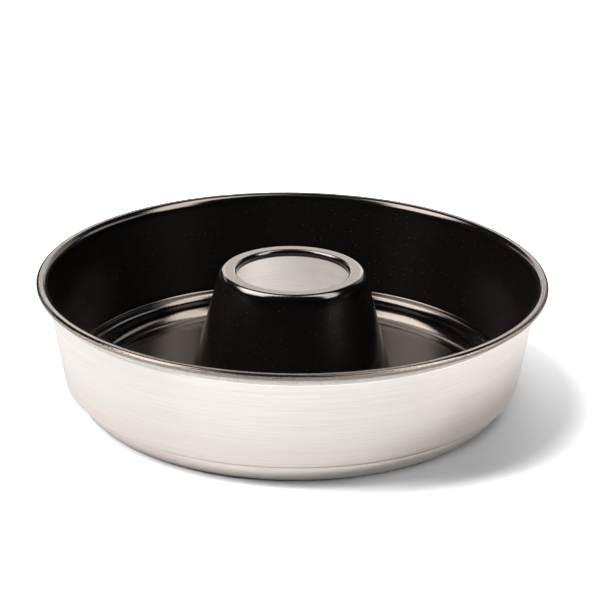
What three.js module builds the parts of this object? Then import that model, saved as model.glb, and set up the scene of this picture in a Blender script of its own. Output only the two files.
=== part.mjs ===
// Ring cake pan: a spun aluminium pan with a rolled rim, and an open cone seamed into its floor.
// Both sheets carry a black non-stick coat on the side that touches the cake.
// Millimetres, +Z up, origin on the surface the pan stands on, under the middle of the cone.
import * as THREE from "three";

// Driving dimensions of the pan
const RIM_DIAMETER = 250; // across the coated rim
const RIM_HEIGHT = 62; // top of the coated rim above the base
const RIM_WIDTH = 5; // rim's outer edge to the middle of the wall
const CURL_RADIUS = 0.2; // inside of the rolled rim, which is pressed nearly flat
const CURL_GAP = 0.4; // end of the rolled rim to the bend above the wall
const WALL_TAPER = 9.14; // degrees that the wall leans outwards
const LEDGE_WIDTH = 5.3; // step from the wall in to the foot
const FOOT_HEIGHT = 10.7; // underside of the ledge above the base
const STAND_WIDTH = 3; // flat ring that the pan stands on, inside the rounded foot
const FLOOR_RAMP = 2; // width of the slope from that ring up to the raised floor

// Driving dimensions of the cone
const CONE_HEIGHT = 63.7; // top of the coated ring round the hole above the base
const CONE_LEAN = 15; // degrees that the cone leans in towards its top
const HOLE_DIAMETER = 55.2; // inside the coated lip
const RING_WIDTH = 8; // hole to the corner where the top meets the cone's side
const LIP_DEPTH = 3.3; // lip's lower edge below the top ring
const SEAM_LAP = 5; // cone's flange under the pan's floor

// Sheet, coat, bends and clearances
const SHEET = 1; // aluminium, both pieces
const COAT = 0.2; // non-stick coat, thicker than the few hundredths of a real one
const BOND = 0.05; // between a sheet and its coat
const SEAM_GAP = 0.05; // between the flange and the floor above it
const SEAM_CLEARANCE = 0.15; // between the floor's edge and the cone's bend, and between the two coats
const FLANGE_LIFT = 0.25; // flange above the surface that the pan stands on
const RIM_BEND = 2.1; // inside radii of the bends
const WALL_BEND = 1;
const LEDGE_BEND = 2;
const FOOT_BEND = 6.5;
const CONE_FOOT_BEND = 0.5;
const SHOULDER_BEND = 2.05;
const LIP_BEND = 0.4;

const SIDES = 48; // facets round the axis
const BEND_STEP = Math.PI / 5; // largest turn of one facet of a bend

const middle = SHEET / 2;
const faceOfSheet = middle + BOND;
const faceOfCoat = faceOfSheet + COAT;
const wallLean = THREE.MathUtils.degToRad(WALL_TAPER);
const coneLean = THREE.MathUtils.degToRad(CONE_LEAN);

// A sheet's middle line is a list of corners [radius, height, bend radius of the middle line].
// bent() rounds the corners and gives points, each with the unit vector to the left of the way it runs.
function bent(corners) {
  const points = [];
  const put = (x, y, angle) => {
    const left = new THREE.Vector2(-Math.sin(angle), Math.cos(angle));
    points.push({ at: new THREE.Vector2(x, y), left, reach: 1 });
  };
  const heading = (a, b) => Math.atan2(b[1] - a[1], b[0] - a[0]);
  put(corners[0][0], corners[0][1], heading(corners[0], corners[1]));
  for (let i = 1; i < corners.length - 1; i += 1) {
    const [x, y, radius] = corners[i];
    const before = heading(corners[i - 1], corners[i]);
    const after = heading(corners[i], corners[i + 1]);
    const turn = Math.atan2(Math.sin(after - before), Math.cos(after - before));
    if (radius === 0) {
      put(x, y, before + turn / 2);
      points[points.length - 1].reach = 1 / Math.cos(turn / 2);
      continue;
    }
    const tangent = radius * Math.tan(Math.abs(turn) / 2);
    const side = Math.sign(turn);
    const startX = x - tangent * Math.cos(before);
    const startY = y - tangent * Math.sin(before);
    const centreX = startX - side * radius * Math.sin(before);
    const centreY = startY + side * radius * Math.cos(before);
    const steps = Math.ceil(Math.abs(turn) / BEND_STEP);
    for (let k = 0; k <= steps; k += 1) {
      const angle = before + (turn * k) / steps;
      put(
        centreX + side * radius * Math.sin(angle),
        centreY - side * radius * Math.cos(angle),
        angle,
      );
    }
  }
  const last = corners.length - 1;
  put(corners[last][0], corners[last][1], heading(corners[last - 1], corners[last]));
  return points;
}

// Turns the band between two distances left of a middle line round the axis.
function spun(name, line, near, far, material) {
  const offset = (distance) =>
    line.map((p) => p.at.clone().addScaledVector(p.left, distance * p.reach));
  const profile = [...offset(near), ...offset(far).reverse()];
  profile.push(profile[0].clone());
  const geometry = new THREE.LatheGeometry(profile, SIDES);
  geometry.rotateX(Math.PI / 2);
  const mesh = new THREE.Mesh(geometry, material);
  mesh.name = name;
  return mesh;
}

// Middle line of the cone, from the edge of its flange up its side and down its lip.
const coneTop = CONE_HEIGHT - faceOfCoat;
const flangeHeight = FLANGE_LIFT + middle;
const lipRadius = HOLE_DIAMETER / 2 + faceOfCoat;
// The ring's width runs to the corner of the coat's outer face, so the middle line's corner lies inside it.
const cornerInset = faceOfCoat * Math.tan((Math.PI / 2 - coneLean) / 2);
const coneTopRadius = HOLE_DIAMETER / 2 + RING_WIDTH - cornerInset;
const coneFootRadius = coneTopRadius + (coneTop - flangeHeight) * Math.tan(coneLean);
const coneFootBend = CONE_FOOT_BEND + middle;
const coneFootTangent = coneFootBend * Math.tan((Math.PI / 2 - coneLean) / 2);
const flangeStart = coneFootRadius + coneFootTangent;
const coneSide = [
  [coneFootRadius, flangeHeight, coneFootBend],
  [coneTopRadius, coneTop, SHOULDER_BEND + middle],
  [lipRadius, coneTop, LIP_BEND + middle],
  [lipRadius, CONE_HEIGHT - LIP_DEPTH],
];
const coneLine = bent([[flangeStart + SEAM_LAP, flangeHeight], ...coneSide]);
// The coat starts at the top of the bend in the cone's foot.
const coatFoot = [
  coneFootRadius - coneFootTangent * Math.sin(coneLean),
  flangeHeight + coneFootTangent * Math.cos(coneLean),
];
const coneCoatLine = bent([coatFoot, ...coneSide.slice(1)]);

// Middle line of the pan, from the raised floor to the ring it stands on, up the foot and wall, and round the rim.
const rimTop = RIM_HEIGHT - faceOfCoat;
const rimEdge = RIM_DIAMETER / 2 - faceOfCoat;
const curl = CURL_RADIUS + middle;
const rimUnder = rimTop - 2 * curl;
const rimBend = RIM_BEND + middle;
const wallTop = RIM_DIAMETER / 2 - RIM_WIDTH;
const wallAt = (height) => wallTop - (rimTop - height) * Math.tan(wallLean);
const ledge = FOOT_HEIGHT + middle;
const wallFoot = wallAt(ledge);
const footRadius = wallFoot - LEDGE_WIDTH;
const footBend = FOOT_BEND + middle;
const floorHeight = FLANGE_LIFT + SHEET + SEAM_GAP + middle;
const standEdge = footRadius - footBend - STAND_WIDTH;
const floorHole = flangeStart + SEAM_CLEARANCE;
const panBends = [
  [standEdge - FLOOR_RAMP, floorHeight, 0],
  [standEdge, middle, 0],
  [footRadius, middle, footBend],
  [footRadius, ledge, LEDGE_BEND + middle],
  [wallFoot, ledge, WALL_BEND + middle],
  [wallTop, rimTop, rimBend],
  [rimEdge, rimTop, curl],
  [rimEdge, rimUnder, curl],
];
// The roll ends short of the inside of the bend above the wall, at the height of the roll's upper face.
const rimFlatStart = wallTop + rimBend * Math.tan((Math.PI / 2 - wallLean) / 2);
const curlEnd = rimFlatStart - 2 * Math.sqrt(CURL_RADIUS * (RIM_BEND - CURL_RADIUS)) + CURL_GAP;
const panLine = bent([[floorHole, floorHeight], ...panBends, [curlEnd, rimUnder]]);
// The coat bridges the seam up to the cone's own coat, and stops on the underside of the rim.
const coneFace = (height) =>
  HOLE_DIAMETER / 2 + RING_WIDTH + (CONE_HEIGHT - height) * Math.tan(coneLean);
const coatHole = coneFace(floorHeight + faceOfSheet) + SEAM_CLEARANCE;
const panCoatLine = bent([[coatHole, floorHeight], ...panBends, [curlEnd, rimUnder]]);
panCoatLine.pop();

const aluminium = () =>
  new THREE.MeshStandardMaterial({ color: 0xdcd8d2, roughness: 0.35, metalness: 1 });
const nonStick = () =>
  new THREE.MeshStandardMaterial({ color: 0x0c0a0b, roughness: 0.12, metalness: 0 });

const pan = new THREE.Group();
pan.add(
  spun("pan_shell", panLine, -middle, middle, aluminium()),
  spun("centre_cone", coneLine, -middle, middle, aluminium()),
  spun("pan_coating", panCoatLine, faceOfSheet, faceOfCoat, nonStick()),
  spun("cone_coating", coneCoatLine, -faceOfCoat, -faceOfSheet, nonStick()),
);

export default pan;
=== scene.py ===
"""Ring cake pan: brushed aluminium outside, black non-stick inside, an open cone in the middle."""

import math

import bmesh
import bpy
from bpy.props import FloatProperty, FloatVectorProperty, IntProperty, PointerProperty
from mathutils import Matrix, Vector


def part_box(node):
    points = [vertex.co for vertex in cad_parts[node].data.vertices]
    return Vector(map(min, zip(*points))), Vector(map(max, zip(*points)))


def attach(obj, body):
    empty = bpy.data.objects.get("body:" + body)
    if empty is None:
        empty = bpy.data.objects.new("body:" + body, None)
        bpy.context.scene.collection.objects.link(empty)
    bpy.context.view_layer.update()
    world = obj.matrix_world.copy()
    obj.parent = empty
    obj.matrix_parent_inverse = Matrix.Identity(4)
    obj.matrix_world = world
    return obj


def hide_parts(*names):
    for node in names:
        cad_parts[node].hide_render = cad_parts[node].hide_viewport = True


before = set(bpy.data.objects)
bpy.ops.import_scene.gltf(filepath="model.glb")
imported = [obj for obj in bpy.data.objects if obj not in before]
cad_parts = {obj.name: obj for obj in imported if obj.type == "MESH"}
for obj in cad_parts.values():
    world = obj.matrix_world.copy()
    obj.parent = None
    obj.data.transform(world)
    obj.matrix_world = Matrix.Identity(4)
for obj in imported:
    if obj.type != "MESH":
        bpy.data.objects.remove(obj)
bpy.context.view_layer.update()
MM = 0.001

bl_info = {
    "name": "Ring cake pan",
    "version": (1, 0, 0),
    "blender": (4, 5, 0),
    "location": "3D View > Sidebar > Ring pan",
    "description": "Builds a spun ring cake pan with a non-stick inside, and a stage to show it on",
    "category": "Add Mesh",
}


def linear(hex_colour):
    """Turns an sRGB hex colour into linear red, green and blue."""
    channels = [int(hex_colour[i : i + 2], 16) / 255 for i in (1, 3, 5)]
    return [c / 12.92 if c <= 0.04045 else ((c + 0.055) / 1.055) ** 2.4 for c in channels]


def length(name, description, default):
    """A size in metres that is shown in the scene's own units."""
    return FloatProperty(name=name, description=description, default=default, unit="LENGTH", precision=5)


def angle(name, description, degrees):
    """An angle that is shown in degrees."""
    return FloatProperty(
        name=name, description=description, default=math.radians(degrees), subtype="ANGLE"
    )


def colour(name, description, hex_colour):
    """A colour that is picked in the panel."""
    return FloatVectorProperty(
        name=name, description=description, default=linear(hex_colour), subtype="COLOR", min=0, max=1
    )


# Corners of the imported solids: radius on X and Y, height on Z
PAN_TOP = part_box("pan_coating")[1]
CONE_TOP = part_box("cone_coating")[1]
FLANGE_LOW, FLANGE_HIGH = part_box("centre_cone")


class SheetSizes(bpy.types.PropertyGroup):
    """Gauges and clearances that both pressings share."""

    sheet: length("Sheet", "Thickness of the aluminium", 1.0 * MM)
    coat: length("Coat", "Thickness of the non-stick coat", 0.2 * MM)
    bond: length("Bond", "Between a sheet and its coat", 0.05 * MM)
    seam_gap: length("Seam gap", "Between the cone's flange and the floor over it", 0.05 * MM)
    clearance: length("Clearance", "Between the floor's edge and the cone", 0.15 * MM)
    facets: IntProperty(name="Facets", description="Facets round the axis", default=240, min=24)
    bend_step: angle("Bend step", "Largest turn of one facet of a bend", 5)


class PanSizes(bpy.types.PropertyGroup):
    """Sizes of the spun pan."""

    rim_radius: length("Rim radius", "Axis to the outside of the coated rim", PAN_TOP.x)
    rim_height: length("Rim height", "Top of the coated rim", PAN_TOP.z)
    rim_width: length("Rim width", "Rim's outer edge to the middle of the wall", 5 * MM)
    rim_bend: length("Rim bend", "Inside radius of the bend from the wall into the rim", 2.1 * MM)
    curl: length("Curl", "Inside radius of the rolled rim", 0.2 * MM)
    curl_gap: length("Curl gap", "End of the roll to the bend above the wall", 0.4 * MM)
    taper: angle("Taper", "Lean of the wall", 9.14)
    ledge_width: length("Ledge width", "Step from the wall in to the foot", 5.3 * MM)
    foot_height: length("Foot height", "Underside of the ledge", 10.7 * MM)
    wall_bend: length("Wall bend", "Inside radius where the ledge meets the wall", 1 * MM)
    ledge_bend: length("Ledge bend", "Inside radius where the foot meets the ledge", 2 * MM)
    foot_bend: length("Foot bend", "Inside radius between floor and foot", 6.5 * MM)
    stand_width: length("Standing ring", "Flat ring that the pan stands on", 3 * MM)
    floor_ramp: length("Floor ramp", "Width of the slope up to the raised floor", 2 * MM)
    ramp_bend: length("Ramp bend", "Radius of the slope's two corners", 1.5 * MM)
    scribe_height: length("Scribed line", "Height of the fine line round the wall", 55 * MM)
    scribe_width: length("Scribed width", "Width of that line", 0.6 * MM)
    scribe_depth: length("Scribed depth", "Depth of that line", 0.15 * MM)


class ConeSizes(bpy.types.PropertyGroup):
    """Sizes of the open cone."""

    height: length("Height", "Top of the coated ring round the hole", CONE_TOP.z)
    hole_radius: length("Hole radius", "Inside the coated lip", 27.6 * MM)
    ring_width: length("Ring width", "Hole to the corner of ring and side", 8 * MM)
    lean: angle("Lean", "Lean of the cone's side", 15)
    lip_depth: length("Lip depth", "Lip's lower edge below the ring", 3.3 * MM)
    lip_bend: length("Lip bend", "Inside radius between ring and lip", 0.4 * MM)
    shoulder_bend: length("Shoulder bend", "Inside radius between side and ring", 2.05 * MM)
    foot_bend: length("Foot bend", "Inside radius between side and flange", 0.5 * MM)
    flange_radius: length("Flange radius", "Axis to the flange's edge", FLANGE_HIGH.x)
    flange_lift: length("Flange lift", "Flange above the surface the pan stands on", FLANGE_LOW.z)


class Finishes(bpy.types.PropertyGroup):
    """Colours of the two finishes and the floor."""

    aluminium: colour("Aluminium", "Bare brushed metal", "#F2EDE8")
    mist: colour("Mist", "Stray spray on the wall under the rim", "#6E6259")
    coat: colour("Coat", "Non-stick coat", "#0F0B0B")
    fleck: colour("Fleck", "Pale flecks in the coat", "#4A423D")
    speck: colour("Rim specks", "Metal that shows through the thin coat of the rim", "#BDB7B2")
    floor: colour("Floor", "Pale floor under the pan", "#F2F2F2")
    # Painted warm shade: tints the floor beside the foot darker and warmer where the pan mirrors it
    painted_warm_shade: colour("Bounce", "Tint of the floor beside the foot, as the pan mirrors it", "#F7EFEA")


class RingPan(bpy.types.PropertyGroup):
    """Everything that a user would change."""

    stock: PointerProperty(type=SheetSizes)
    pan: PointerProperty(type=PanSizes)
    cone: PointerProperty(type=ConeSizes)
    finish: PointerProperty(type=Finishes)


def heading(a, b):
    """Direction from one corner of a section to the next, in radians."""
    return math.atan2(b[1] - a[1], b[0] - a[0])


def ahead(way):
    """Unit vector along a heading."""
    return Vector((math.cos(way), math.sin(way)))


def left_of(way):
    """Unit vector to the left of a heading."""
    return Vector((-math.sin(way), math.cos(way)))


BEND_GUARD = 0.1 * MM  # from each end of a bend to a point that keeps the flat beside it looking flat


def bent(corners, step):
    """Rounds the corners (radius, height, bend) of a sheet's middle line between its two ends.

    Gives pairs of a point and the vector to the left of the way the line runs there."""
    line = []

    def put(place, way):
        line.append((place, left_of(way)))

    put(Vector(corners[0]), heading(corners[0], corners[1]))
    for last, here, following in zip(corners, corners[1:], corners[2:]):
        x, z, radius = here
        before = heading(last, here)
        after = heading(here, following)
        turn = math.remainder(after - before, math.tau)
        side = math.copysign(1, turn)
        start = Vector((x, z)) - ahead(before) * (radius * math.tan(abs(turn) / 2))
        centre = start + left_of(before) * (side * radius)
        put(start - ahead(before) * BEND_GUARD, before)
        steps = math.ceil(abs(turn) / step)
        for k in range(steps + 1):
            way = before + turn * k / steps
            put(centre - left_of(way) * (side * radius), way)
        put(centre - left_of(after) * (side * radius) + ahead(after) * BEND_GUARD, after)
    put(Vector(corners[-1]), heading(corners[-2], corners[-1]))
    return line


def face(line, distance):
    """The line moved to its left, which is one face of a sheet or coat."""
    return [place + left * distance for place, left in line]


# Section of a scribed line, in shares of half its width and of its depth
GROOVE = [(-1, 0), (-0.6, 0.25), (-0.3, 0.8), (0, 1), (0.3, 0.8), (0.6, 0.25), (1, 0)]


def scribed(points, height, width, depth):
    """Cuts a fine rounded line into the left of a face, where it passes a height."""
    for i, (a, b) in enumerate(zip(points, points[1:])):
        if min(a.y, b.y) < height - width and max(a.y, b.y) > height + width:
            along = (b - a).normalized()
            into = Vector((-along.y, along.x))
            middle = a.lerp(b, (height - a.y) / (b.y - a.y))
            cut = [middle + along * (width / 2 * s) + into * (depth * d) for s, d in GROOVE]
            return points[: i + 1] + cut + points[i + 1 :]
    raise ValueError("the face doesn't pass the scribed line's height")


def cone_lines(settings):
    """Middle lines of the cone's sheet and coat, and the radius where its flange starts."""
    stock, cone = settings.stock, settings.cone
    half = stock.sheet / 2
    outside = half + stock.bond + stock.coat
    top = cone.height - outside
    flange = cone.flange_lift + half
    lip = cone.hole_radius + outside
    inset = outside * math.tan((math.pi / 2 - cone.lean) / 2)
    shoulder = cone.hole_radius + cone.ring_width - inset
    foot = shoulder + (top - flange) * math.tan(cone.lean)
    foot_bend = cone.foot_bend + half
    tangent = foot_bend * math.tan((math.pi / 2 - cone.lean) / 2)
    side = [
        (foot, flange, foot_bend),
        (shoulder, top, cone.shoulder_bend + half),
        (lip, top, cone.lip_bend + half),
        (lip, cone.height - cone.lip_depth),
    ]
    coat_foot = (foot - tangent * math.sin(cone.lean), flange + tangent * math.cos(cone.lean))
    sheet = bent([(cone.flange_radius, flange)] + side, stock.bend_step)
    return sheet, bent([coat_foot] + side[1:], stock.bend_step), foot + tangent


def pan_lines(settings):
    """Middle lines of the pan: for the sheet, and for the coat, which runs on to the cone."""
    stock, pan, cone = settings.stock, settings.pan, settings.cone
    half = stock.sheet / 2
    skin = half + stock.bond
    rim_top = pan.rim_height - skin - stock.coat
    rim_edge = pan.rim_radius - skin - stock.coat
    wall_top = pan.rim_radius - pan.rim_width
    ledge = pan.foot_height + half
    wall_foot = wall_top - (rim_top - ledge) * math.tan(pan.taper)
    foot = wall_foot - pan.ledge_width
    floor = cone.flange_lift + stock.sheet + stock.seam_gap + half
    stand = foot - pan.foot_bend - half - pan.stand_width
    curl = pan.curl + half
    under = rim_top - 2 * curl
    rim_bend = pan.rim_bend + half
    rim_flat = wall_top + rim_bend * math.tan((math.pi / 2 - pan.taper) / 2)
    curl_end = rim_flat - 2 * math.sqrt(pan.curl * (pan.rim_bend - pan.curl)) + pan.curl_gap
    bends = [
        (stand - pan.floor_ramp, floor, pan.ramp_bend),
        (stand, half, pan.ramp_bend),
        (foot, half, pan.foot_bend + half),
        (foot, ledge, pan.ledge_bend + half),
        (wall_foot, ledge, pan.wall_bend + half),
        (wall_top, rim_top, rim_bend),
        (rim_edge, rim_top, curl),
        (rim_edge, under, curl),
        (curl_end, under),
    ]
    cone_side = cone.hole_radius + cone.ring_width + (cone.height - floor - skin) * math.tan(cone.lean)
    flange_start = cone_lines(settings)[2]
    sheet = bent([(flange_start + stock.clearance, floor)] + bends, stock.bend_step)
    coat = bent([(cone_side + stock.clearance, floor)] + bends, stock.bend_step)
    return sheet, coat[:-1]


def add(tree, kind, inputs=None, **settings):
    """Adds a node: settings are its own, inputs are values, other nodes or their output sockets.

    A node that is given as an input stands for the first of its outputs that is in use."""
    made = tree.nodes.new(kind)
    for name, value in settings.items():
        setattr(made, name, value)
    for name, value in (inputs or {}).items():
        socket = made.inputs[name]
        if isinstance(value, bpy.types.Node):
            value = next(output for output in value.outputs if output.enabled)
        if isinstance(value, bpy.types.NodeSocket):
            tree.links.new(value, socket)
        else:
            socket.default_value = value
    return made


LATHE = "Turned round the axis"
LATHE_RADIUS = 20 * MM  # circle that the section is swept along, after moving inwards by as much
SHARP_EDGE = math.radians(40)  # edges that turn by more than this stay sharp
WELD = 0.001 * MM  # points nearer than this are one


def lathe_tree():
    """Geometry Nodes tree that turns a closed section round the axis, as a lathe does."""
    tree = bpy.data.node_groups.new(LATHE, "GeometryNodeTree")
    sockets = [
        ("Section", "NodeSocketGeometry"),
        ("Facets", "NodeSocketInt"),
        ("Turning radius", "NodeSocketFloat"),
        ("Sharp edge", "NodeSocketFloat"),
        ("Finish", "NodeSocketMaterial"),
    ]
    for name, kind in sockets:
        tree.interface.new_socket(name, in_out="INPUT", socket_type=kind)
    tree.interface.new_socket("Piece", in_out="OUTPUT", socket_type="NodeSocketGeometry")
    given = add(tree, "NodeGroupInput").outputs
    inwards = add(tree, "ShaderNodeMath", {0: 0.0, 1: given["Turning radius"]}, operation="SUBTRACT")
    shift = add(tree, "ShaderNodeCombineXYZ", {"X": inwards})
    laid = add(
        tree,
        "GeometryNodeTransform",
        {"Geometry": given["Section"], "Translation": shift, "Rotation": (math.pi / 2, 0, 0)},
    )
    profile = add(tree, "GeometryNodeMeshToCurve", {"Mesh": laid})
    circle = add(
        tree,
        "GeometryNodeCurvePrimitiveCircle",
        {"Resolution": given["Facets"], "Radius": given["Turning radius"]},
    )
    swept = add(tree, "GeometryNodeCurveToMesh", {"Curve": circle, "Profile Curve": profile})
    bend = add(tree, "GeometryNodeInputMeshEdgeAngle").outputs["Unsigned Angle"]
    sharp = add(
        tree, "FunctionNodeCompare", {0: bend, 1: given["Sharp edge"]}, operation="GREATER_THAN"
    )
    smooth = add(
        tree, "GeometryNodeSetShadeSmooth", {"Geometry": swept, "Shade Smooth": True}, domain="FACE"
    )
    creased = add(
        tree,
        "GeometryNodeSetShadeSmooth",
        {"Geometry": smooth, "Selection": sharp, "Shade Smooth": False},
        domain="EDGE",
    )
    real = add(tree, "GeometryNodeRealizeInstances", {"Geometry": creased})
    dressed = add(tree, "GeometryNodeSetMaterial", {"Geometry": real, "Material": given["Finish"]})
    add(tree, "NodeGroupOutput", {"Piece": dressed})
    return tree


def lathed(name, outline, settings, finish):
    """Turns a closed outline of (radius, height) points into a plain mesh."""
    section = bpy.data.meshes.new(name + "_section")
    count = len(outline)
    section.from_pydata(
        [(p.x, 0, p.y) for p in outline], [(i, (i + 1) % count) for i in range(count)], []
    )
    blank = bpy.data.objects.new(name + "_section", section)
    bpy.context.scene.collection.objects.link(blank)
    tree = bpy.data.node_groups.get(LATHE) or lathe_tree()
    modifier = blank.modifiers.new(LATHE, "NODES")
    modifier.node_group = tree
    wanted = {
        "Facets": settings.stock.facets,
        "Turning radius": LATHE_RADIUS,
        "Sharp edge": SHARP_EDGE,
        "Finish": finish,
    }
    for item in tree.interface.items_tree:
        if item.in_out == "INPUT" and item.name in wanted:
            modifier[item.identifier] = wanted[item.name]
    depsgraph = bpy.context.evaluated_depsgraph_get()
    mesh = bpy.data.meshes.new_from_object(blank.evaluated_get(depsgraph), depsgraph=depsgraph)
    mesh.name = name
    blank.modifiers.remove(modifier)
    bpy.data.objects.remove(blank)
    bpy.data.meshes.remove(section)
    return mesh


def closed(mesh):
    """Welds the mesh's seams and turns its faces outwards."""
    made = bmesh.new()
    made.from_mesh(mesh)
    bmesh.ops.remove_doubles(made, verts=made.verts, dist=WELD)
    bmesh.ops.recalc_face_normals(made, faces=made.faces)
    if made.calc_volume(signed=True) < 0:
        bmesh.ops.reverse_faces(made, faces=made.faces)
    made.to_mesh(mesh)
    made.free()


def turned(name, outline, settings, finish, node):
    """Makes a turned piece that stands for a CAD node."""
    mesh = lathed(name, outline, settings, finish)
    closed(mesh)
    piece = bpy.data.objects.new(name, mesh)
    bpy.context.scene.collection.objects.link(piece)
    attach(piece, "root")
    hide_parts(node)


METAL = "Brushed aluminium"
FILM = "Baked non-stick coat"
NOISE_LOW, NOISE_HIGH = 0.3, 0.7  # levels that most of a noise lies between


def material(name):
    """A new material with an empty tree, and that tree."""
    made = bpy.data.materials.new(name)
    made.use_nodes = True
    made.node_tree.nodes.clear()
    return made, made.node_tree


def turned_places(tree):
    """Where a point of a turned piece is: its place, height, radius, and place along the lathe's lines.

    The last has radius plus height on Z, so that a line round the axis keeps its Z on floor and wall."""
    place = add(tree, "ShaderNodeTexCoord").outputs["Object"]
    axes = add(tree, "ShaderNodeSeparateXYZ", {0: place}).outputs
    flat = add(tree, "ShaderNodeVectorMath", {0: place, 1: (1, 1, 0)}, operation="MULTIPLY")
    radius = add(tree, "ShaderNodeVectorMath", {0: flat}, operation="LENGTH")
    across = add(tree, "ShaderNodeMath", {0: radius, 1: axes["Z"]}, operation="ADD")
    turns = add(tree, "ShaderNodeCombineXYZ", {"X": axes["X"], "Y": axes["Y"], "Z": across})
    return place, axes["Z"], radius, turns


def lathe_marks(tree, turns, long, wide, detail):
    """Noise that is drawn out round the axis into marks of a length and a width."""
    grid = (1 / long, 1 / long, 1 / wide)
    spread = add(tree, "ShaderNodeVectorMath", {0: turns, 1: grid}, operation="MULTIPLY")
    return add(tree, "ShaderNodeTexNoise", {"Vector": spread, "Scale": 1.0, "Detail": detail})


# Brushing of the aluminium. Real scratches are under 0.1 mm wide, and are drawn wider so that they show.
SCRATCH_LENGTH = 45 * MM
SCRATCH_WIDTH = 0.385 * MM
SCRATCH_SHADE = 0.87  # tone of the darkest scratches, as a share of the metal's
BAND_LENGTH = 143 * MM  # broad bands of heavier and lighter brushing
BAND_WIDTH = 6.25 * MM
BRUSHED_SMOOTHEST = 0.3  # roughness
BRUSHED_ROUGHEST = 0.4

# Mist of stray spray on the bare wall. Its droplets are drawn coarser than the real ones of about 0.1 mm.
MIST_GRAIN = 0.6 * MM
MIST_THIN, MIST_DENSE = 0.25, 0.65  # levels of the grain's noise
MIST_START = PAN_TOP.z - 7.5 * MM
MIST_FULL = PAN_TOP.z - 3.5 * MM
OUTSIDE_CONE = 0.8 * PAN_TOP.x  # the wall lies outside this radius, and the cone inside it


def brushed_aluminium(settings):
    """Aluminium sheet, brushed on the lathe: long fine lines round the axis blur what it mirrors.

    Stray spray from the coat lies on the wall as a brown mist, thickest under the rim."""
    finish = settings.finish
    made, tree = material(METAL)
    place, height, radius, turns = turned_places(tree)
    scratches = lathe_marks(tree, turns, SCRATCH_LENGTH, SCRATCH_WIDTH, detail=3.0)
    bands = lathe_marks(tree, turns, BAND_LENGTH, BAND_WIDTH, detail=2.0)
    both = add(tree, "ShaderNodeMath", {0: scratches, 1: bands}, operation="ADD")
    rough = add(
        tree,
        "ShaderNodeMapRange",
        {
            "Value": both,
            "From Min": 2 * NOISE_LOW,
            "From Max": 2 * NOISE_HIGH,
            "To Min": BRUSHED_SMOOTHEST,
            "To Max": BRUSHED_ROUGHEST,
        },
    )
    tone = add(tree, "ShaderNodeValToRGB", {0: scratches})
    darkest, palest = tone.color_ramp.elements
    darkest.position, palest.position = NOISE_LOW, NOISE_HIGH
    darkest.color = (*(Vector(finish.aluminium) * SCRATCH_SHADE), 1)
    palest.color = (*finish.aluminium, 1)
    rising = add(
        tree, "ShaderNodeMapRange", {"Value": height, "From Min": MIST_START, "From Max": MIST_FULL}
    )
    on_wall = add(tree, "ShaderNodeMath", {0: radius, 1: OUTSIDE_CONE}, operation="GREATER_THAN")
    drift = add(tree, "ShaderNodeMath", {0: rising, 1: on_wall}, operation="MULTIPLY")
    grain = add(tree, "ShaderNodeTexNoise", {"Vector": place, "Scale": 1 / MIST_GRAIN, "Detail": 2.0})
    mist = add(
        tree,
        "ShaderNodeMapRange",
        {"Value": grain, "From Min": MIST_THIN, "From Max": MIST_DENSE, "To Max": drift},
    )
    sprayed = add(
        tree,
        "ShaderNodeMix",
        {"Factor": mist, "A": tone.outputs["Color"], "B": (*finish.mist, 1)},
        data_type="RGBA",
    )
    shader = add(
        tree,
        "ShaderNodeBsdfPrincipled",
        {
            "Base Color": sprayed,
            "Metallic": 1.0,
            "Roughness": rough,
            "Anisotropic": 0.7,
            "Anisotropic Rotation": 0.25,
            "Tangent": add(tree, "ShaderNodeTangent", direction_type="RADIAL", axis="Z"),
        },
    )
    add(tree, "ShaderNodeOutputMaterial", {"Surface": shader})
    return made


# Grain of the coat. Real flecks and droplets are near 0.1 mm, and both are drawn coarser so that they show.
FLECK_SPACING = 0.9 * MM
FLECK_RADIUS = 0.2  # share of the spacing
FLECK_CHANCE = 0.08  # that a place for a fleck holds one
SPRAY_GRAIN = 0.35 * MM

# Relief of the coat: the dimples of a sprayed film, and the lathe's marks in the metal under it
PEEL_SIZE = 0.7 * MM
MARK_LENGTH = 71 * MM
MARK_WIDTH = 1.11 * MM
RELIEF_DEPTH = 0.1 * MM
RELIEF_STRENGTH = 0.3

# Gloss of the coat: sharp on floor, ledge, ring and rim, and softer on the steep sides of wall and cone
GLOSS_FLAT = 0.1  # roughness
GLOSS_STEEP = 0.22
STEEP_FADE = 3 * MM  # height above the ledge over which the wall turns softer
TOP_START = PAN_TOP.z - 6 * MM  # heights between which the gloss turns sharp again
TOP_FULL = PAN_TOP.z - 2 * MM

# Thin spray on the rim. Radius less height grows on the way out and down round its roll.
RIM_CORNER = PAN_TOP.x - PAN_TOP.z
THIN_START = RIM_CORNER - 0.4 * MM
THIN_FULL = RIM_CORNER + 0.8 * MM
THIN_REACH = 2 * MM  # from the rim's outer edge inwards
SPRAY_DENSE = 0.95  # level of the spray's noise above which metal shows, inside the rim and outside it
SPRAY_THIN = 0.45
SPRAY_EDGE = 0.2  # half the range of levels over which it starts to show


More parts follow.
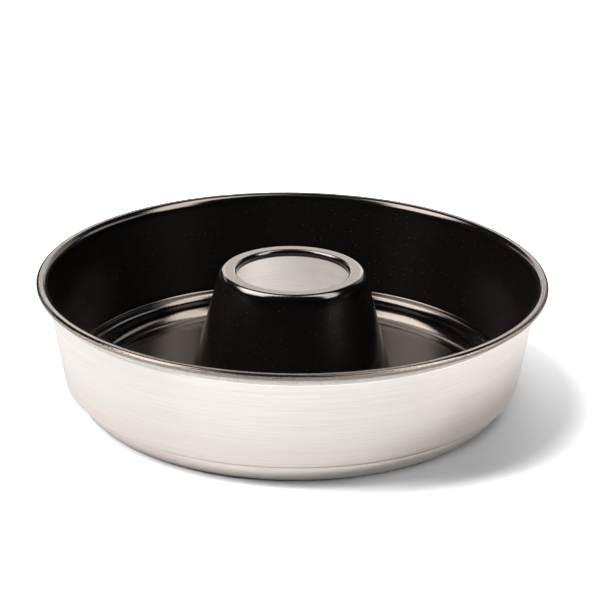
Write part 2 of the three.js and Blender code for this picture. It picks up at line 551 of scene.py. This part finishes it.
def nonstick_coat(settings):
    """Baked non-stick coat: a sharp gloss over a hazy black, with fine pale flecks.

    The film is softer on the steep sides, and the spray thins out over the outside of the rim,
    where specks of bare metal show through."""
    finish, stock = settings.finish, settings.stock
    made, tree = material(FILM)
    place, height, radius, turns = turned_places(tree)

    cells = add(tree, "ShaderNodeTexVoronoi", {"Vector": place, "Scale": 1 / FLECK_SPACING})
    spot = add(
        tree, "ShaderNodeMath", {0: cells.outputs["Distance"], 1: FLECK_RADIUS}, operation="LESS_THAN"
    )
    draw = add(tree, "ShaderNodeSeparateXYZ", {0: cells.outputs["Color"]}).outputs["X"]
    chosen = add(tree, "ShaderNodeMath", {0: draw, 1: FLECK_CHANCE}, operation="LESS_THAN")
    fleck = add(tree, "ShaderNodeMath", {0: spot, 1: chosen}, operation="MULTIPLY")
    tone = add(
        tree,
        "ShaderNodeMix",
        {"Factor": fleck, "A": (*finish.coat, 1), "B": (*finish.fleck, 1)},
        data_type="RGBA",
    )

    peel = add(tree, "ShaderNodeTexNoise", {"Vector": place, "Scale": 1 / PEEL_SIZE, "Detail": 2.0})
    marks = lathe_marks(tree, turns, MARK_LENGTH, MARK_WIDTH, detail=2.0)
    relief = add(tree, "ShaderNodeMath", {0: peel, 1: marks}, operation="ADD")
    bump = add(
        tree,
        "ShaderNodeBump",
        {"Strength": RELIEF_STRENGTH, "Distance": RELIEF_DEPTH, "Height": relief},
    )

    ledge = settings.pan.foot_height + stock.sheet + stock.bond + stock.coat
    on_wall = add(
        tree, "ShaderNodeMapRange", {"Value": height, "From Min": ledge, "From Max": ledge + STEEP_FADE}
    )
    on_cone = add(tree, "ShaderNodeMath", {0: radius, 1: CONE_TOP.x}, operation="LESS_THAN")
    steep = add(tree, "ShaderNodeMath", {0: on_wall, 1: on_cone}, operation="MAXIMUM")
    sides = add(
        tree, "ShaderNodeMapRange", {"Value": steep, "To Min": GLOSS_FLAT, "To Max": GLOSS_STEEP}
    )
    rough = add(
        tree,
        "ShaderNodeMapRange",
        {
            "Value": height,
            "From Min": TOP_START,
            "From Max": TOP_FULL,
            "To Min": sides,
            "To Max": GLOSS_FLAT,
        },
    )
    film = add(
        tree,
        "ShaderNodeBsdfPrincipled",
        {"Base Color": tone, "Roughness": rough, "IOR": 1.5, "Normal": bump},
    )

    round_rim = add(tree, "ShaderNodeMath", {0: radius, 1: height}, operation="SUBTRACT")
    at_rim = add(
        tree, "ShaderNodeMath", {0: radius, 1: PAN_TOP.x - THIN_REACH}, operation="GREATER_THAN"
    )
    outward = add(
        tree,
        "ShaderNodeMapRange",
        {"Value": round_rim, "From Min": THIN_START, "From Max": THIN_FULL, "To Max": at_rim},
    )
    level = add(
        tree, "ShaderNodeMapRange", {"Value": outward, "To Min": SPRAY_DENSE, "To Max": SPRAY_THIN}
    )
    low = add(tree, "ShaderNodeMath", {0: level, 1: SPRAY_EDGE}, operation="SUBTRACT")
    high = add(tree, "ShaderNodeMath", {0: level, 1: SPRAY_EDGE}, operation="ADD")
    spray = add(tree, "ShaderNodeTexNoise", {"Vector": place, "Scale": 1 / SPRAY_GRAIN, "Detail": 2.0})
    bare = add(tree, "ShaderNodeMapRange", {"Value": spray, "From Min": low, "From Max": high})
    metal = add(
        tree,
        "ShaderNodeBsdfPrincipled",
        {"Base Color": (*finish.speck, 1), "Metallic": 1.0, "Roughness": 0.5},
    )
    both = add(tree, "ShaderNodeMixShader", {0: bare, 1: film, 2: metal})
    add(tree, "ShaderNodeOutputMaterial", {"Surface": both})
    return made


# Lightness of the floor, in times its colour: to the camera, in the pan's gloss, and in the hollow cone,
# where it is a painted pool of light for the cone's bare inside to mirror
FLOOR_SEEN = 2.75
FLOOR_MIRRORED = 1.28
HOLLOW_PAINTED_LIGHT = 2.7
# Share of its own colour, free of shadow, that the gloss and the hollow cone mirror. Inside the cone it is
# a painted glow, light that no lamp gives.
FLOOR_GLOW = 0.06
HOLLOW_PAINTED_GLOW = 0.46
# Radii between which the painted warm shade beside the foot fades out
PAINTED_SHADE_START = PAN_TOP.x - 1 * MM
PAINTED_SHADE_END = PAN_TOP.x + 17 * MM


def floor_finish(settings):
    """Plain pale floor: white to the camera where it is lit, with the pan's shadow.

    The pan mirrors it darker, with a painted warm shade beside the foot, and with a painted pool of light
    inside the hollow cone."""
    finish = settings.finish
    made, tree = material("Pale studio floor")
    ray = add(tree, "ShaderNodeLightPath").outputs
    place = add(tree, "ShaderNodeTexCoord").outputs["Object"]
    away = add(tree, "ShaderNodeVectorMath", {0: place}, operation="LENGTH")
    # The floor inside the cone, where a pool of light is painted that only mirrors see
    hollow = add(tree, "ShaderNodeMath", {0: away, 1: CONE_TOP.x}, operation="LESS_THAN")
    outside = add(tree, "ShaderNodeMath", {0: 1.0, 1: hollow}, operation="SUBTRACT")
    # Painted warm shade on the floor beside the foot, seen only in what the pan mirrors
    beside = add(
        tree,
        "ShaderNodeMapRange",
        {
            "Value": away,
            "From Min": PAINTED_SHADE_START,
            "From Max": PAINTED_SHADE_END,
            "To Min": outside,
            "To Max": 0.0,
        },
    )
    warm = [pale * tint for pale, tint in zip(finish.floor, finish.painted_warm_shade)]
    mirrored_tone = add(
        tree,
        "ShaderNodeMix",
        {"Factor": beside, "A": (*finish.floor, 1), "B": (*warm, 1)},
        data_type="RGBA",
    )
    tone = add(
        tree,
        "ShaderNodeMix",
        {"Factor": ray["Is Camera Ray"], "A": mirrored_tone, "B": (*finish.floor, 1)},
        data_type="RGBA",
    )
    mirrored = add(
        tree,
        "ShaderNodeMix",
        {"Factor": hollow, "A": FLOOR_MIRRORED, "B": HOLLOW_PAINTED_LIGHT},
        data_type="FLOAT",
    )
    times = add(
        tree,
        "ShaderNodeMix",
        {"Factor": ray["Is Camera Ray"], "A": mirrored, "B": FLOOR_SEEN},
        data_type="FLOAT",
    )
    lit = add(tree, "ShaderNodeVectorMath", {0: tone, "Scale": times}, operation="SCALE")
    matt = add(tree, "ShaderNodeBsdfDiffuse", {"Color": lit})
    # The floor's own glow in what mirrors see: a little everywhere, and inside the cone a painted pool of
    # light
    glow = add(tree, "ShaderNodeEmission", {"Color": mirrored_tone, "Strength": 1.0})
    share = add(
        tree,
        "ShaderNodeMix",
        {"Factor": hollow, "A": FLOOR_GLOW, "B": HOLLOW_PAINTED_GLOW},
        data_type="FLOAT",
    )
    in_gloss = add(tree, "ShaderNodeMixShader", {0: share, 1: matt, 2: glow})
    by_gloss = add(
        tree,
        "ShaderNodeMath",
        {0: ray["Is Glossy Ray"], 1: ray["Is Transmission Ray"]},
        operation="MAXIMUM",
    )
    surface = add(tree, "ShaderNodeMixShader", {0: by_gloss, 1: matt, 2: in_gloss})
    add(tree, "ShaderNodeOutputMaterial", {"Surface": surface})
    return made


def shared(name, make, settings):
    """A finish that several pieces share, made once."""
    return bpy.data.materials.get(name) or make(settings)


class RINGPAN_OT_pan_sheet(bpy.types.Operator):
    """Turn the aluminium pan: raised floor, standing ring, rounded foot, ledge, wall and rolled rim"""

    bl_idname = "ring_pan.pan_sheet"
    bl_label = "Aluminium pan"

    def execute(self, context):
        settings = context.scene.ring_pan
        pan, half = settings.pan, settings.stock.sheet / 2
        line = pan_lines(settings)[0]
        outside = scribed(face(line, -half), pan.scribe_height, pan.scribe_width, pan.scribe_depth)
        outline = outside + face(line, half)[::-1]
        metal = shared(METAL, brushed_aluminium, settings)
        turned("aluminium_pan", outline, settings, metal, "pan_shell")
        return {"FINISHED"}


class RINGPAN_OT_cone_sheet(bpy.types.Operator):
    """Turn the open aluminium cone with its flange, top ring and lip"""

    bl_idname = "ring_pan.cone_sheet"
    bl_label = "Aluminium cone"

    def execute(self, context):
        settings = context.scene.ring_pan
        half = settings.stock.sheet / 2
        line = cone_lines(settings)[0]
        outline = face(line, -half) + face(line, half)[::-1]
        metal = shared(METAL, brushed_aluminium, settings)
        turned("aluminium_cone", outline, settings, metal, "centre_cone")
        return {"FINISHED"}


class RINGPAN_OT_coats(bpy.types.Operator):
    """Lay the non-stick coats on the inside of the pan, over its rim, and on the cone"""

    bl_idname = "ring_pan.coats"
    bl_label = "Non-stick coats"

    def execute(self, context):
        settings = context.scene.ring_pan
        stock = settings.stock
        inner = stock.sheet / 2 + stock.bond
        outer = inner + stock.coat
        black = shared(FILM, nonstick_coat, settings)
        line = pan_lines(settings)[1]
        outline = face(line, inner) + face(line, outer)[::-1]
        turned("pan_lining", outline, settings, black, "pan_coating")
        line = cone_lines(settings)[1]
        outline = face(line, -inner) + face(line, -outer)[::-1]
        turned("cone_lining", outline, settings, black, "cone_coating")
        return {"FINISHED"}


FLOOR_HALF = 4.0  # metres from the pan to the floor's edges
FLOOR_DROP = 0.1 * MM  # floor below the pan, so that the two don't share a plane


def studio_floor(scene):
    """Lays the pale floor."""
    x, z = FLOOR_HALF, -FLOOR_DROP
    mesh = bpy.data.meshes.new("studio_floor")
    mesh.from_pydata([(-x, -x, z), (x, -x, z), (x, x, z), (-x, x, z)], [], [(0, 1, 2, 3)])
    mesh.materials.append(floor_finish(scene.ring_pan))
    floor = bpy.data.objects.new("studio_floor", mesh)
    scene.collection.objects.link(floor)


LAMP_DISTANCE = 5.0  # metres from the pan
CARD_DISTANCE = 6.0  # the cards that only gloss mirrors stand behind the lamps
WHITE = "#FFFFFF"
WARM = "#FFF3E7"
AMBER = "#FFEDDF"
SOFTBOX_FADE = 0.25


def towards(zenith, azimuth):
    """Unit vector to a place in the studio, from degrees off the zenith and rightwards from the back."""
    z, a = math.radians(zenith), math.radians(azimuth)
    return Vector((math.sin(z) * math.sin(a), math.sin(z) * math.cos(a), math.cos(z)))


def soften(data, share):
    """Lets a lamp fade out over a share of its size at each edge, as a softbox does.

    Its parametric coordinates run from 0 to 1 across it."""
    data.use_nodes = True
    tree = data.node_tree
    tree.nodes.clear()
    spot = add(tree, "ShaderNodeNewGeometry").outputs["Parametric"]
    offset = add(tree, "ShaderNodeVectorMath", {0: spot, 1: (0.5, 0.5, 0)}, operation="SUBTRACT")
    away = add(tree, "ShaderNodeVectorMath", {0: offset}, operation="ABSOLUTE")
    axes = add(tree, "ShaderNodeSeparateXYZ", {0: away}).outputs
    fades = [
        add(
            tree,
            "ShaderNodeMapRange",
            {
                "Value": axes[axis],
                "From Min": 0.5 - share,
                "From Max": 0.5,
                "To Min": 1.0,
                "To Max": 0.0,
            },
            interpolation_type="SMOOTHSTEP",
        )
        for axis in "XY"
    ]
    strength = add(tree, "ShaderNodeMath", {0: fades[0], 1: fades[1]}, operation="MULTIPLY")
    shader = add(tree, "ShaderNodeEmission", {"Strength": strength})
    add(tree, "ShaderNodeOutputLight", {"Surface": shader})


def flat_lamp(name, at, size, radiance, roll=0, tint=WHITE, fade=0, only=None):
    """A flat lamp that faces the pan from far away, unseen by the camera.

    It stands at a zenith angle and an azimuth and is turned by roll, all in degrees. Its width and
    height are shares of its distance. One that is given a collection shows only in the gloss of the
    pieces in it, and any other lights everything but shows in no gloss."""
    reach = CARD_DISTANCE if only else LAMP_DISTANCE
    wide, high = (reach * side / (1 - fade) for side in size)
    data = bpy.data.lights.new(name, "AREA")
    data.color = linear(tint)
    data.shape = "RECTANGLE"
    data.size, data.size_y = wide, high
    data.energy = radiance * math.pi * wide * high
    if fade:
        soften(data, fade)
    made = bpy.data.objects.new(name, data)
    bpy.context.scene.collection.objects.link(made)
    way = towards(*at)
    up = (Vector((0, 0, 1)) - way * way.z).normalized()
    turn = Matrix((up.cross(way), up, way)).transposed() @ Matrix.Rotation(math.radians(roll), 3, "Z")
    made.matrix_world = Matrix.Translation(way * reach) @ turn.to_4x4()
    made.visible_camera = False
    if only:
        made.visible_diffuse = False
        made.light_linking.receiver_collection = only
    else:
        made.visible_glossy = False
        data.cycles.use_multiple_importance_sampling = False


def pieces(name, *members):
    """A collection of pieces for a lamp to show in."""
    made = bpy.data.collections.new(name)
    for member in members:
        made.objects.link(bpy.data.objects[member])
    return made


def studio_lamps():
    """Sets up the lamps that light the scene, and the cards that the metal and the coats mirror."""
    # Lamps that light everything
    flat_lamp("key", at=(37, -105), roll=3, size=(0.3, 0.94), radiance=9.61)
    flat_lamp("fill", at=(43, 153), size=(0.7, 0.7), radiance=1.31)
    flat_lamp("white_backdrop", at=(77, -30), size=(2.6, 0.33), radiance=8.48)

    # Cards for the bare wall to mirror. Diffuse rays pass the wall by, so it throws no light on the floor.
    bare = pieces("Bare pieces", "aluminium_pan")
    bpy.data.objects["aluminium_pan"].visible_diffuse = False
    flat_lamp("front_card", at=(72, 180), size=(2.4, 0.7), radiance=2.05, only=bare)
    flat_lamp("right_card", at=(72, 75), size=(2.4, 0.7), radiance=2.6, only=bare, tint=WARM)

    # Softboxes and a backdrop for the cone's coat to mirror
    cone = {"only": pieces("Lining of the cone", "cone_lining"), "tint": WARM}
    soft_cone = {**cone, "fade": SOFTBOX_FADE}
    flat_lamp("softbox_left", at=(33, -78), roll=61, size=(0.56, 1.05), radiance=20, **soft_cone)
    flat_lamp("softbox_right", at=(39.5, 101), roll=-31, size=(0.36, 1.5), radiance=12.5, **soft_cone)
    flat_lamp("backdrop_ring", at=(71, 0), size=(0.7, 0.39), radiance=3.0, **cone)

    # Strips, a glow and a backdrop for the pan's coat to mirror
    lining = pieces("Lining of the pan", "pan_lining")
    soft_lining = {"only": lining, "tint": AMBER, "fade": SOFTBOX_FADE}
    flat_lamp("strip_left", at=(40, -95), roll=47, size=(0.44, 1.1), radiance=18.5, **soft_lining)
    flat_lamp("strip_right", at=(38, 101), roll=-31, size=(0.36, 1.6), radiance=14, **soft_lining)
    flat_lamp("glow_right", at=(64, 77), size=(0.7, 0.35), radiance=3.5, **soft_lining)
    flat_lamp("backdrop_middle", at=(67.5, 0), size=(0.3, 0.11), radiance=2.8, only=lining, tint=WARM)

    # Dimmer cards for both coats and the bare inside of the cone to mirror
    inside = pieces("Inside of pan and cone", "pan_lining", "cone_lining", "aluminium_cone")
    coated = {"only": inside, "tint": WARM}
    flat_lamp("between_softboxes", at=(6, 60), roll=-20, size=(0.2, 0.9), radiance=1.2, fade=0.4, **coated)
    flat_lamp("backdrop_left", at=(66, -27), size=(0.73, 0.09), radiance=2.4, fade=0.1, **coated)
    flat_lamp("backdrop_right", at=(66, 24), size=(0.66, 0.37), radiance=1.15, fade=0.1, **coated)


# Strength of the white surroundings: to the camera, to gloss, and as light from all round
WORLD_SEEN = 1.0
WORLD_MIRRORED = 0.03
WORLD_LIGHT = 0.02


def studio_world(scene):
    """Surrounds the stage with white that the camera sees and that hardly lights the pan."""
    world = bpy.data.worlds.new("White studio")
    world.use_nodes = True
    tree = world.node_tree
    tree.nodes.clear()
    ray = add(tree, "ShaderNodeLightPath").outputs
    seen = add(
        tree,
        "ShaderNodeMix",
        {"Factor": ray["Is Camera Ray"], "A": WORLD_LIGHT, "B": WORLD_SEEN},
        data_type="FLOAT",
    )
    strength = add(
        tree,
        "ShaderNodeMix",
        {"Factor": ray["Is Glossy Ray"], "A": seen, "B": WORLD_MIRRORED},
        data_type="FLOAT",
    )
    white = add(tree, "ShaderNodeBackground", {"Strength": strength})
    add(tree, "ShaderNodeOutputWorld", {"Surface": white})
    scene.world = world


# The camera was fitted to the outlines of the pan. Its angles are in radians, its lens in millimetres.
CAMERA_PLACE = Vector((0, -916.06, 412.82)) * MM
CAMERA_PITCH, CAMERA_YAW, CAMERA_ROLL = 0.37923, 0.003824, 0.012336
CAMERA_LENS = 120
CAMERA_SENSOR = 36


def swung(a, b, turn):
    """Two unit vectors at right angles, after the first swings towards the second by an angle."""
    return (
        math.cos(turn) * a + math.sin(turn) * b,
        math.cos(turn) * b - math.sin(turn) * a,
    )


def photo_camera(scene):
    """Puts the camera where the photograph was taken from."""
    right = Vector((1, 0, 0))
    forward = Vector((0, math.cos(CAMERA_PITCH), -math.sin(CAMERA_PITCH)))
    up = right.cross(forward)
    forward, right = swung(forward, right, CAMERA_YAW)
    right, up = swung(right, up, CAMERA_ROLL)
    turn = Matrix((right, up, -forward)).transposed()
    data = bpy.data.cameras.new("photo_camera")
    data.lens = CAMERA_LENS
    data.sensor_width = CAMERA_SENSOR
    camera = bpy.data.objects.new("photo_camera", data)
    scene.collection.objects.link(camera)
    camera.matrix_world = Matrix.Translation(CAMERA_PLACE) @ turn.to_4x4()
    scene.camera = camera


class RINGPAN_OT_stage(bpy.types.Operator):
    """Set up the floor, the studio lamps, the white surroundings and the camera"""

    bl_idname = "ring_pan.stage"
    bl_label = "Studio"

    def execute(self, context):
        scene = context.scene
        scene.view_settings.view_transform = "Standard"
        studio_floor(scene)
        studio_lamps()
        studio_world(scene)
        photo_camera(scene)
        return {"FINISHED"}


class RINGPAN_PT_panel(bpy.types.Panel):
    """Lists the pan's sizes, its finishes, its pieces and the studio"""

    bl_idname = "RINGPAN_PT_panel"
    bl_label = "Ring cake pan"
    bl_space_type = "VIEW_3D"
    bl_region_type = "UI"
    bl_category = "Ring pan"

    def draw(self, context):
        settings = context.scene.ring_pan
        for group in (settings.stock, settings.pan, settings.cone, settings.finish):
            box = self.layout.box()
            for name in group.__annotations__:
                box.prop(group, name)
        for operator in OPERATORS:
            self.layout.operator(operator.bl_idname)


OPERATORS = (
    RINGPAN_OT_pan_sheet,
    RINGPAN_OT_cone_sheet,
    RINGPAN_OT_coats,
    RINGPAN_OT_stage,
)
CLASSES = (SheetSizes, PanSizes, ConeSizes, Finishes, RingPan, *OPERATORS, RINGPAN_PT_panel)


def register():
    for cls in CLASSES:
        bpy.utils.register_class(cls)
    bpy.types.Scene.ring_pan = PointerProperty(type=RingPan)


def unregister():
    del bpy.types.Scene.ring_pan
    for cls in reversed(CLASSES):
        bpy.utils.unregister_class(cls)


def main():
    """Builds the pan and the studio."""
    register()
    bpy.ops.ring_pan.pan_sheet()
    bpy.ops.ring_pan.cone_sheet()
    bpy.ops.ring_pan.coats()
    bpy.ops.ring_pan.stage()


if __name__ == "__main__":
    main()
